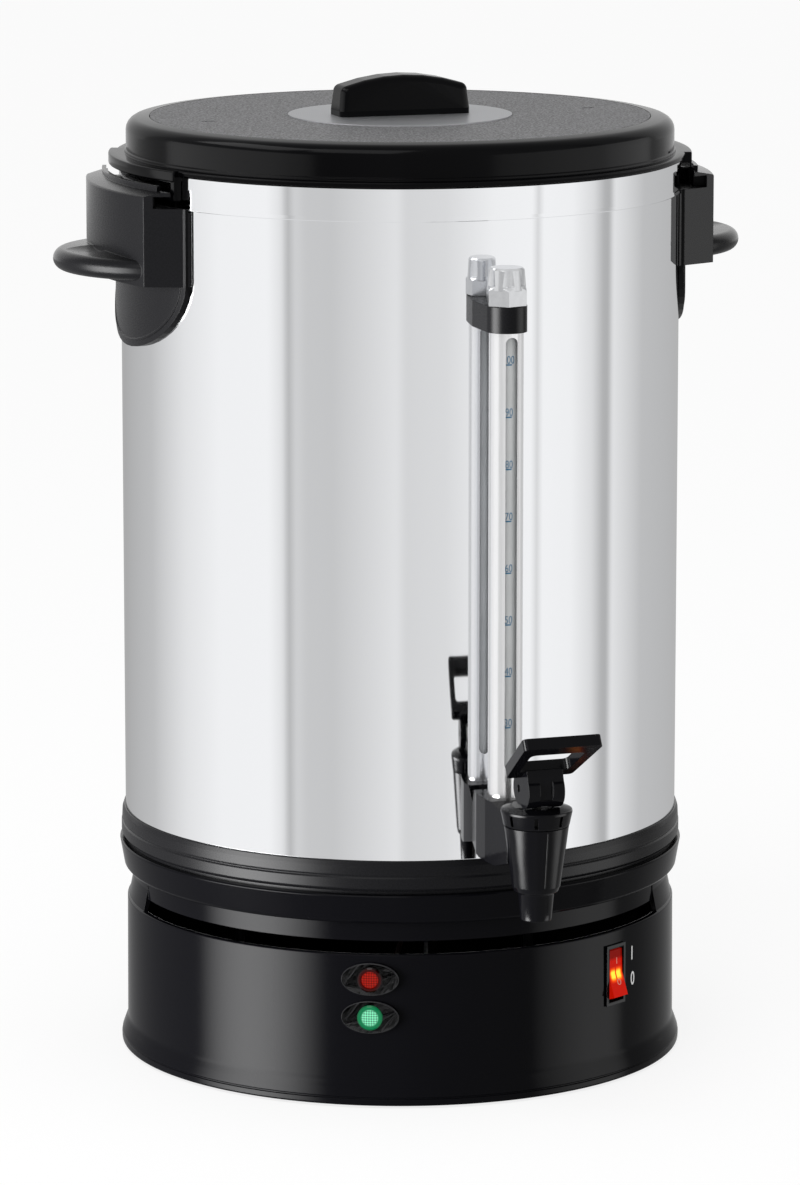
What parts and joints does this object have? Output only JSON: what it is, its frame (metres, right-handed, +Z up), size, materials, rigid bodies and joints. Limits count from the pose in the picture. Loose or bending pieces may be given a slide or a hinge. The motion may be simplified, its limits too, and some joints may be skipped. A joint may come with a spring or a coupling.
{
  "type": "coffee urn",
  "caption": "Cylindrical polished-steel coffee urn with black collars and base, twist-lock lid, two side handles, sight gauge, lever tap, pilot lamps and rocker switch.",
  "frame": {"origin": "on the axis of the round body, at the height of the surface that the rubber feet stand on", "axes": "+Z up along the body axis, the tap and the sight gauge face -Y, the side handles lie on +X and -X"},
  "size_m": [0.382, 0.4145, 0.5306],
  "materials": {
    "polished_steel": "mirror polished stainless steel sheet",
    "plain_steel": "plain mill finish",
    "black_gloss": "glossy moulded plastic",
    "black_satin": "satin moulded plastic",
    "black_grained": "fine moulded grain",
    "rubber": "matte",
    "red_lens": "translucent, grid-textured",
    "green_lens": "translucent, grid-textured",
    "rocker_red": "translucent, lit from inside",
    "cream_plastic": "matte",
    "lead_red": "silicone-covered lead",
    "aluminium": "satin",
    "element_steel": "heat-darkened",
    "silicone": "soft matte",
    "silicone_red": "soft matte",
    "white_plastic": "matte",
    "gauge_metal": "satin chrome",
    "gauge_glass": "clear glass tube with a printed blue scale"
  },
  "bodies": {
    "root": {"rubber_feet": "rubber", "base_plate": "plain_steel", "base_plate_screws": "plain_steel", "base_housing": "black_gloss", "cord_grommet": "rubber", "lamp_bezels": "black_gloss", "red_lamp_lens": "red_lens", "green_lamp_lens": "green_lens", "lamp_bodies": "cream_plastic", "switch_frame": "black_gloss", "terminal_block": "cream_plastic", "wiring": "lead_red", "lower_collar": "black_gloss", "collar_screws": "plain_steel", "upper_collar": "black_satin", "tie_rods": "plain_steel", "tie_rod_nuts": "plain_steel", "heat_shield": "plain_steel", "heat_plate": "aluminium", "heating_element": "element_steel", "thermostat": "element_steel", "thermal_cutout": "cream_plastic", "outer_shell": "polished_steel", "inner_tank": "polished_steel", "left_handle": "black_satin", "right_handle": "black_satin", "handle_screws": "plain_steel", "tap_shank": "black_gloss", "shank_seals": "silicone_red", "shank_nut": "plain_steel", "tap_body": "black_gloss", "tap_bonnet": "black_gloss", "gauge_bracket": "black_satin", "gauge_bracket_screw": "plain_steel", "gauge_shield": "gauge_metal", "gauge_glass": "gauge_glass", "gauge_lower_seal": "silicone"},
    "stem": {"valve_stem": "white_plastic", "seat_cup": "silicone"},
    "lever": {"tap_lever": "black_gloss", "lever_pin": "plain_steel"},
    "rocker": {"switch_rocker": "rocker_red"},
    "gauge_plug": {"gauge_cap_seal": "silicone"},
    "gauge_top": {"gauge_cap": "gauge_metal"},
    "percolator": {"percolator_tube": "plain_steel", "filter_basket": "plain_steel", "basket_cover": "plain_steel"},
    "lid_seat": {"lid_seal": "silicone"},
    "lid": {"lid_inner_pan": "plain_steel", "lid_cover": "black_gloss", "lid_top_plate": "black_grained", "lid_disc": "aluminium", "lid_handle": "black_gloss", "lid_handle_screws": "plain_steel"}
  },
  "joints": [
    {"name": "lid_lift", "type": "slide", "parent": "root", "child": "lid_seat", "axis": [0, 0, 1], "range_m": [0, 0.08]},
    {"name": "lid_turn", "type": "hinge", "parent": "lid_seat", "child": "lid", "pos_m": [0, 0, 0.4865], "axis": [0, 0, 1], "range_deg": [-9, 0]},
    {"name": "percolator_lift", "type": "slide", "parent": "root", "child": "percolator", "axis": [0, 0, 1], "range_m": [0, 0.008]},
    {"name": "stem_lift", "type": "slide", "parent": "root", "child": "stem", "axis": [0, 0, 1], "range_m": [0, 0.0036], "stiffness_N_per_m": 40, "springref_m": -0.006},
    {"name": "lever_tilt", "type": "hinge", "parent": "stem", "child": "lever", "pos_m": [0, -0.22, 0.1858], "axis": [1, 0, 0], "range_deg": [-1.5, 31.5]},
    {"name": "rocker_press", "type": "hinge", "parent": "root", "child": "rocker", "pos_m": [0.07877, -0.12317, 0.0586], "axis": [0.8425, 0.5388, 0], "range_deg": [0, 20]},
    {"name": "gauge_cap_lift", "type": "slide", "parent": "root", "child": "gauge_plug", "axis": [0, 0, 1], "range_m": [0, 0.012]},
    {"name": "gauge_cap_turn", "type": "hinge", "parent": "gauge_plug", "child": "gauge_top", "pos_m": [0, -0.1715, 0.43], "axis": [0, 0, 1], "range_deg": [0, 720]}
  ],
  "couplings": [
    {"joint": "lever_tilt", "follows": "stem_lift", "rad_per_m": 145.44}
  ]
}
